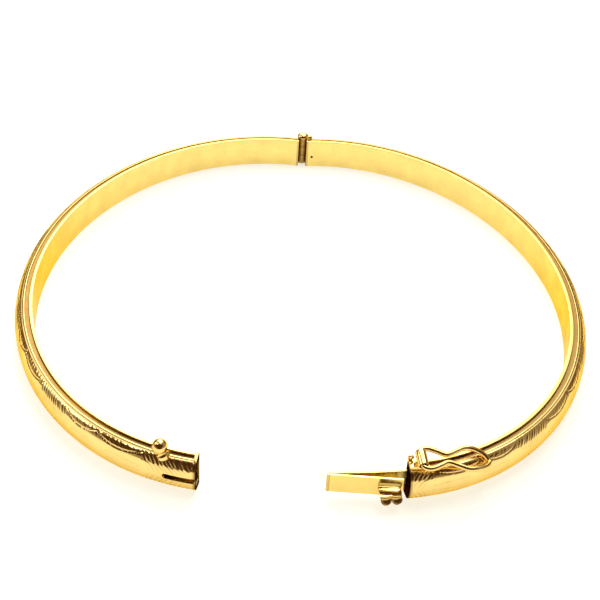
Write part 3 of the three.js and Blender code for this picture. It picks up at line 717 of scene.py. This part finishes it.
# ---- Hinge pin with its domed head
def build_pin():
    under = BAND_HEIGHT + 2 * SOLDER_GAP
    turn = np.linspace(0, np.pi / 2, 14)
    head = [[PIN_HEAD_RADIUS * math.cos(t), under + PIN_HEAD_HEIGHT * math.sin(t)]
            for t in turn[:-1]]
    shank = [[0, SOLDER_GAP], [PIN_RADIUS, SOLDER_GAP], [PIN_RADIUS, under]]
    profile = [*shank, [PIN_HEAD_RADIUS - 0.05, under], *head, [0, under + PIN_HEAD_HEIGHT]]
    points, faces = turned(profile, HINGE * [1, 1, 0], UP, steps=64)
    make_piece("hinge_pin_turned", points, faces, "polished_gold", BODY[LEFT], ["hinge_pin"], sharp=50.0)


# ---- Ball post
def build_ball_post():
    points, outward = stations(LEFT, np.array([POST_STATION, POST_STATION + 0.01]))
    along = (points[1] - points[0]) / np.linalg.norm(points[1] - points[0])
    axis = turn_row(LEFT, UP * math.cos(POST_LEAN) + along * math.sin(POST_LEAN))
    foot = points[0] + outward[0] * POST_OFFSET + UP * (BAND_HEIGHT - SHOULDER_DROP)
    foot = to_row(LEFT, foot)
    neck = math.asin((POST_RADIUS + 0.05) / BALL_RADIUS)
    turn = np.linspace(np.pi - neck, 0, 40)
    ball = [[BALL_RADIUS * math.sin(t), BALL_RISE + BALL_RADIUS * math.cos(t)] for t in turn[:-1]]
    shank = [[0, -POST_FOOT_DROP], [POST_RADIUS, -POST_FOOT_DROP], [POST_RADIUS, ball[0][1] - 0.05]]
    post = [*shank, *ball, [0, BALL_RISE + BALL_RADIUS]]
    points, faces = turned(post, foot, axis, steps=80)
    make_piece("ball_post_turned", points, faces, "polished_gold", BODY[LEFT], ["ball_post"], sharp=50.0)
    flare = COLLAR_RADIUS - COLLAR_TOP_RADIUS
    side = [[COLLAR_TOP_RADIUS + flare * (1 - t) ** 2.2, 0.02 + (COLLAR_HEIGHT - 0.06) * t]
            for t in np.linspace(0, 1, 14)]
    rim = [[COLLAR_TOP_RADIUS - 0.01, COLLAR_HEIGHT - 0.01], [COLLAR_TOP_RADIUS - 0.05, COLLAR_HEIGHT]]
    foot_ring = [[0, -POST_FOOT_DROP], [COLLAR_RADIUS, -POST_FOOT_DROP]]
    profile = [*foot_ring, *side, *rim, [0, COLLAR_HEIGHT]]
    points, faces = turned(profile, foot, axis, steps=80)
    make_piece("ball_post_collar_turned", points, faces, "polished_gold", BODY[LEFT],
               ["ball_post_collar"], sharp=40.0)


# ---- Tongue: the sprung leaf with the window where the lug was bent out, and the lug's curled front
def build_sprung_leaf():
    half = LEAF_THICKNESS / 2
    end_n = BAND_THICKNESS - SHELL_WALL - LEAF_ROOF_GAP
    end = to_row(RIGHT, [-(END_PLATE_OUT + LEAF_END_SETBACK), -B - end_n + half, 0.0])
    fold = np.array(JOINTS["leaf_press"]["pos_m"]) / MM
    fold[2] = 0
    run = (end - fold) / np.linalg.norm(end - fold)
    outward = np.array([run[1], -run[0], 0.0]) * half
    corners = [fold - outward, fold + outward, end + outward, end - outward]
    heights = (MID - TONGUE_HEIGHT / 2, MID + TONGUE_HEIGHT / 2)
    points, faces = swept(np.array([[corner + UP * z for corner in corners] for z in heights]))
    low = LUG_TOP + SOLDER_GAP
    radius = WINDOW_HEIGHT / 2
    left = -(LUG_SETBACK + LUG_WIDTH)
    right = -LUG_SETBACK - radius
    turn = np.linspace(-np.pi / 2, np.pi / 2, 17)
    arc = [[right + radius * math.cos(t), low + radius + radius * math.sin(t)] for t in turn]
    outline = [[left, low], *arc, [left, low + WINDOW_HEIGHT]]
    inner, outer = 0.9, 2.4
    rings = np.array([[[x, -B - n, z] for x, z in outline] for n in (inner, outer)])
    mesh = cut_with(points, faces, [swept(to_row(RIGHT, rings))])
    mesh.name = "tongue_sprung_leaf_pressed"
    bevelled(mesh, EDGE_RADIUS, EDGE_SEGMENTS, EDGE_ANGLE)
    flatten(finish_piece(mesh.name, mesh, "spring_gold", "spring_leaf", ["tongue_sprung_leaf"]))


def build_lug_front():
    """A curled strip: bent down from the shelf, hollow in the middle, its two lobes rolled outwards."""
    radius = LUG_WIDTH / 4
    base = BAND_THICKNESS + LUG_REACH - LUG_FRONT_THICKNESS + 0.06
    columns = []
    tarnish_and_painted_shade = []
    for u in np.linspace(-0.995, 0.995, 81):
        lobe = math.sqrt(max(0.0, 1 - (abs(u) * 2 - 1) ** 2))
        drop = LUG_LOBE_DROP + radius * lobe
        column = []
        for v in np.linspace(0, 1, 26):
            bend = 0.14 * math.sin(min(v / 0.25, 1) * np.pi / 2)
            hollow = 0.16 * math.sin(np.pi * v)
            roll = 0.26 * v ** 4 * (0.3 + 0.7 * lobe)
            column.append([base + bend - hollow + roll, LUG_TOP - v * drop])
            # Painted shade across the middle of the bend, fading out before the lobes.
            tarnish_and_painted_shade.append(0.7 * math.sin(np.pi * min(1.0, v / 0.7)) ** 2)
        inside = [[n - LUG_STRIP, z] for n, z in reversed(column)]
        # Lighter painted shade on the strip's inside.
        tarnish_and_painted_shade += [0.3] * len(inside)
        x = -(LUG_SETBACK + LUG_WIDTH / 2) + u * LUG_WIDTH / 2
        columns.append([[x, -B - n, z] for n, z in column + inside])
    points, faces = swept(to_row(RIGHT, np.array(columns)))
    make_piece("thumb_lug_front_curled", points, faces, "polished_gold", "spring_leaf",
               ["thumb_lug_front"], sharp=50.0, tarnish_and_painted_shade=tarnish_and_painted_shade)


# ---- Safety catch
def catch_points(points, turn=0.0):
    """From the catch's own axes, along, across and up, to the row frame, turned about its tube."""
    points = np.asarray(points, float)
    along = points[..., 0] * math.cos(turn) - points[..., 2] * math.sin(turn)
    up = points[..., 0] * math.sin(turn) + points[..., 2] * math.cos(turn)
    across_axis = np.array([0.0, math.cos(CATCH_TILT), math.sin(CATCH_TILT)])
    up_axis = np.array([0.0, -math.sin(CATCH_TILT), math.cos(CATCH_TILT)])
    centre = np.array([CATCH_STATION, -B - CATCH_OFFSET, BAND_HEIGHT + CATCH_RISE])
    closed = centre + np.array([1.0, 0, 0]) * along[..., None]
    closed = closed + across_axis * points[..., 1:2] + up_axis * up[..., None]
    return to_row(RIGHT, closed)


def smooth_line(knots, steps):
    """A centripetal Catmull-Rom line through the knots."""
    knots = [np.asarray(knot, float) for knot in knots]
    knots = [2 * knots[0] - knots[1], *knots, 2 * knots[-1] - knots[-2]]
    line = []
    for a, b, c, d in zip(knots, knots[1:], knots[2:], knots[3:]):
        t1 = np.linalg.norm(b - a) ** 0.5
        t2 = t1 + np.linalg.norm(c - b) ** 0.5
        t3 = t2 + np.linalg.norm(d - c) ** 0.5
        for t in np.linspace(t1, t2, steps, endpoint=False):
            ab = a + (b - a) * t / t1
            bc = b + (c - b) * (t - t1) / (t2 - t1)
            cd = c + (d - c) * (t - t2) / (t3 - t2)
            abc = ab + (bc - ab) * t / t2
            bcd = bc + (cd - bc) * (t - t1) / (t3 - t1)
            line.append(abc + (bcd - abc) * (t - t1) / (t2 - t1))
    line.append(knots[-2])
    return np.array(line)


def build_figure_eight():
    in_tube = TUBE_LENGTH / 2
    swell = EIGHT_OUTER_AT - EIGHT_WAIST_AT
    close = EIGHT_LENGTH - EIGHT_OUTER_AT
    half = [
        [0, WIRE_RADIUS / 4],
        [0, in_tube * 0.5],
        [0, in_tube],
        [WIRE_RADIUS, EIGHT_INNER - WIRE_RADIUS / 4],
        [EIGHT_WAIST_AT * 0.33, EIGHT_INNER],
        [EIGHT_WAIST_AT * 0.68, (EIGHT_INNER + EIGHT_WAIST) / 2],
        [EIGHT_WAIST_AT, EIGHT_WAIST],
        [EIGHT_OUTER_AT - swell * 0.5, (EIGHT_OUTER + EIGHT_WAIST) / 2 + 0.05],
        [EIGHT_OUTER_AT - swell * 0.18, EIGHT_OUTER - 0.02],
        [EIGHT_OUTER_AT + close * 0.2, EIGHT_OUTER - 0.02],
        [EIGHT_OUTER_AT + close * 0.75, EIGHT_OUTER * 0.6],
    ]

    def bend(along):
        return -EIGHT_TIP_BEND * max(0.0, (along - EIGHT_OUTER_AT) / close) ** 2

    one = [[along, -across, bend(along)] for along, across in half]
    other = [[along, across, bend(along)] for along, across in reversed(half)]
    line = smooth_line([*one, [EIGHT_LENGTH, 0, bend(EIGHT_LENGTH)], *other], 14)
    tangent = np.gradient(line, axis=0)
    tangent /= np.linalg.norm(tangent, axis=1, keepdims=True)
    side = np.cross(tangent, UP)
    side /= np.linalg.norm(side, axis=1, keepdims=True)
    top = np.cross(side, tangent)
    turn = np.linspace(0, 2 * np.pi, 20, endpoint=False)
    outwards = side[:, None, :] * np.cos(turn)[:, None] + top[:, None, :] * np.sin(turn)[:, None]
    rings = line[:, None, :] + WIRE_RADIUS * outwards
    points, faces = swept(catch_points(rings, CATCH_REST))
    make_piece("figure_eight_wire_drawn", points, faces, "wire_gold", "safety_catch",
               ["figure_eight_wire"], sharp=60.0)


def build_catch_tube():
    """Sheet rolled a turn and a third round the wire, so one lap shows as a ridge along the tube."""
    sheet = 0.09
    laps = 1.34
    start = math.radians(-35)
    turn = start + np.linspace(0, 2 * np.pi * laps, 130)
    inner_radius = WIRE_RADIUS + WIRE_CLEARANCE * 0.6
    outer_radius = TUBE_RADIUS - sheet - 0.005
    middle = np.linspace(inner_radius, outer_radius, len(turn)) + sheet / 2
    count = np.arange(len(turn))
    lip = np.clip(np.minimum(count, count[::-1]) / 3.0, 0.15, 1) ** 0.5

    def wrap(radius, y):
        across = np.full(len(turn), y * TUBE_LENGTH / 2)
        return np.stack([radius * np.cos(turn), across, radius * np.sin(turn)], axis=-1)

    rings = []
    # Places along the tube and the share of the sheet's thickness there, so that its ends are rounded
    for y, squeeze in ((-1, 0.6), (-0.985, 0.9), (-0.95, 1.0), (0.95, 1.0), (0.985, 0.9), (1, 0.6)):
        half = sheet / 2 * lip * squeeze
        rings.append(np.vstack([wrap(middle + half, y), wrap(middle - half, y)[::-1]]))
    points, faces = swept(catch_points(np.array(rings)))
    make_piece("catch_hinge_tube_rolled", points, faces, "polished_gold", BODY[RIGHT],
               ["catch_hinge_tube"], sharp=40.0)


def build_catch_eye():
    turn = np.linspace(0, 2 * np.pi, 14, endpoint=False)
    profile = [[EYE_RADIUS + EYE_WIRE * math.cos(t), EYE_WIRE * math.sin(t)] for t in turn]
    top = BAND_HEIGHT + 2 * SOLDER_GAP + CATCH_PLATE
    seat = to_row(RIGHT, [PLATE_IN + EYE_RADIUS, -B - LINER_RIM / 2, top + EYE_RADIUS + EYE_WIRE * 0.7])
    points, faces = ring_of(profile, seat, turn_row(RIGHT, [0, 1, 0]), steps=48)
    make_piece("catch_end_eye_ring", points, faces, "wire_gold", BODY[RIGHT], ["catch_end_eye"], sharp=60.0)


build_shells()
build_liners()
build_plain()
build_pin()
build_ball_post()
build_sprung_leaf()
build_lug_front()
build_figure_eight()
build_catch_tube()
build_catch_eye()


# ---- Floor, light and camera
PAPER_SCALE = 60.0
PAPER_DARK = (0.42, 0.42, 0.42, 1.0)
PAPER_LIGHT = (0.46, 0.46, 0.46, 1.0)
PAPER_GLOW = (1.0, 0.97, 0.85, 1.0)
PAPER_GLOW_STRENGTH = 0.78


def build_floor():
    """Paper that glows a little, so that the floor is white and its shadows are pale and warm."""
    material = bpy.data.materials.new("paper_floor")
    material.use_nodes = True
    nodes = material.node_tree.nodes
    link = material.node_tree.links.new
    shader = nodes["Principled BSDF"]
    shader.inputs["Roughness"].default_value = 0.65
    place = nodes.new("ShaderNodeTexCoord").outputs["Object"]
    ramp = nodes.new("ShaderNodeValToRGB")
    ramp.color_ramp.elements[0].color = PAPER_DARK
    ramp.color_ramp.elements[1].color = PAPER_LIGHT
    link(noise(nodes, link, place, PAPER_SCALE, detail=2.0), ramp.inputs["Fac"])
    link(ramp.outputs["Color"], shader.inputs["Base Color"])
    shader.inputs["Emission Color"].default_value = PAPER_GLOW
    shader.inputs["Emission Strength"].default_value = PAPER_GLOW_STRENGTH
    mesh = bpy.data.meshes.new("floor")
    reach = 1.5
    corners = [(-reach, -reach, 0), (reach, -reach, 0), (reach, reach, 0), (-reach, reach, 0)]
    mesh.from_pydata(corners, [], [(0, 1, 2, 3)])
    floor = bpy.data.objects.new("floor", mesh)
    mesh.materials.append(material)
    bpy.context.scene.collection.objects.link(floor)


def area_light(name, place, target, size, power):
    data = bpy.data.lights.new(name, "AREA")
    data.shape = "DISK"
    data.size = size
    data.energy = power
    lamp = bpy.data.objects.new(name, data)
    lamp.location = place
    lamp.rotation_euler = (Vector(target) - Vector(place)).to_track_quat("-Z", "Y").to_euler()
    bpy.context.scene.collection.objects.link(lamp)


ROOM = (0.36, 0.3, 0.25, 1.0)
BROWN = (0.07, 0.03, 0.012, 1.0)
DIM_BROWN = (0.16, 0.09, 0.045, 1.0)
WHITE = (1.5, 1.5, 1.5, 1.0)
LAMP = (5.0, 5.0, 5.0, 1.0)
# Direction of each patch's middle, its full and its fading-out radius in degrees, and its colour
ROOM_PATCHES = [
    ((0.0, 0.8, 0.6), 26, 42, WHITE),
    ((0.0, -0.8, 0.55), 32, 46, BROWN),
    ((-0.65, -0.4, 0.65), 16, 30, BROWN),
    ((0.65, -0.4, 0.65), 10, 22, BROWN),
    ((-0.7, 0.7, 0.1), 16, 34, DIM_BROWN),
    ((0.7, 0.7, 0.1), 16, 34, DIM_BROWN),
    ((-0.05, 0.75, 0.66), 9, 15, LAMP),
    ((0.15, 0.15, 0.97), 6, 10, LAMP),
    ((-0.45, -0.1, 0.88), 4, 8, LAMP),
]


def patch(nodes, link, direction, middle, inner, outer):
    """One inside a soft round patch of the room about a direction, and zero outside it."""
    aim = nodes.new("ShaderNodeVectorMath")
    aim.operation = "DOT_PRODUCT"
    link(direction, aim.inputs[0])
    aim.inputs[1].default_value = Vector(middle).normalized()
    fade = nodes.new("ShaderNodeMapRange")
    fade.interpolation_type = "SMOOTHSTEP"
    fade.inputs["From Min"].default_value = math.cos(math.radians(outer))
    fade.inputs["From Max"].default_value = math.cos(math.radians(inner))
    link(aim.outputs["Value"], fade.inputs["Value"])
    return fade.outputs["Result"]


def build_world():
    """A warm room: white behind the bangle, brown in front and in the far corners, three lamps."""
    world = bpy.data.worlds.new("room")
    bpy.context.scene.world = world
    world.use_nodes = True
    nodes = world.node_tree.nodes
    link = world.node_tree.links.new
    direction = nodes.new("ShaderNodeTexCoord").outputs["Generated"]
    colour = None
    for middle, inner, outer, shade_colour in ROOM_PATCHES:
        mix = nodes.new("ShaderNodeMix")
        mix.data_type = "RGBA"
        mix.inputs["B"].default_value = shade_colour
        if colour is None:
            mix.inputs["A"].default_value = ROOM
        else:
            link(colour, mix.inputs["A"])
        link(patch(nodes, link, direction, middle, inner, outer), mix.inputs["Factor"])
        colour = mix.outputs["Result"]
    link(colour, nodes["Background"].inputs["Color"])


def build_camera():
    """The viewing angle: from the clasp side, looking down at the open bangle, slightly rolled."""
    from_hinge = [-4.157, -133.195, 74.307]
    place = (HINGE * [1, 1, 0] + from_hinge) * MM
    pitch = math.radians(36.218)
    yaw = math.radians(2.255)
    roll = math.radians(3.905)
    level = math.cos(pitch)
    ahead = np.array([math.sin(yaw) * level, math.cos(yaw) * level, -math.sin(pitch)])
    right = np.array([math.cos(yaw), -math.sin(yaw), 0.0])
    above = np.cross(right, ahead)
    across = right * math.cos(roll) + above * math.sin(roll)
    upright = above * math.cos(roll) - right * math.sin(roll)
    data = bpy.data.cameras.new("camera")
    data.sensor_width = 36.0
    data.lens = 66.96
    data.clip_start = 0.01
    data.clip_end = 10.0
    camera = bpy.data.objects.new("camera", data)
    axes = np.column_stack([across, upright, -ahead, place])
    camera.matrix_world = Matrix([*axes.tolist(), [0, 0, 0, 1]])
    bpy.context.scene.collection.objects.link(camera)
    bpy.context.scene.camera = camera


build_floor()
build_world()
area_light("key", place=(0.1, 0.25, 0.6), target=(0, 0, 0), size=0.45, power=1.3)
area_light("side", place=(-0.5, 0.1, 0.4), target=(0, 0, 0), size=0.3, power=0.6)
build_camera()
bpy.context.scene.view_settings.view_transform = "Standard"
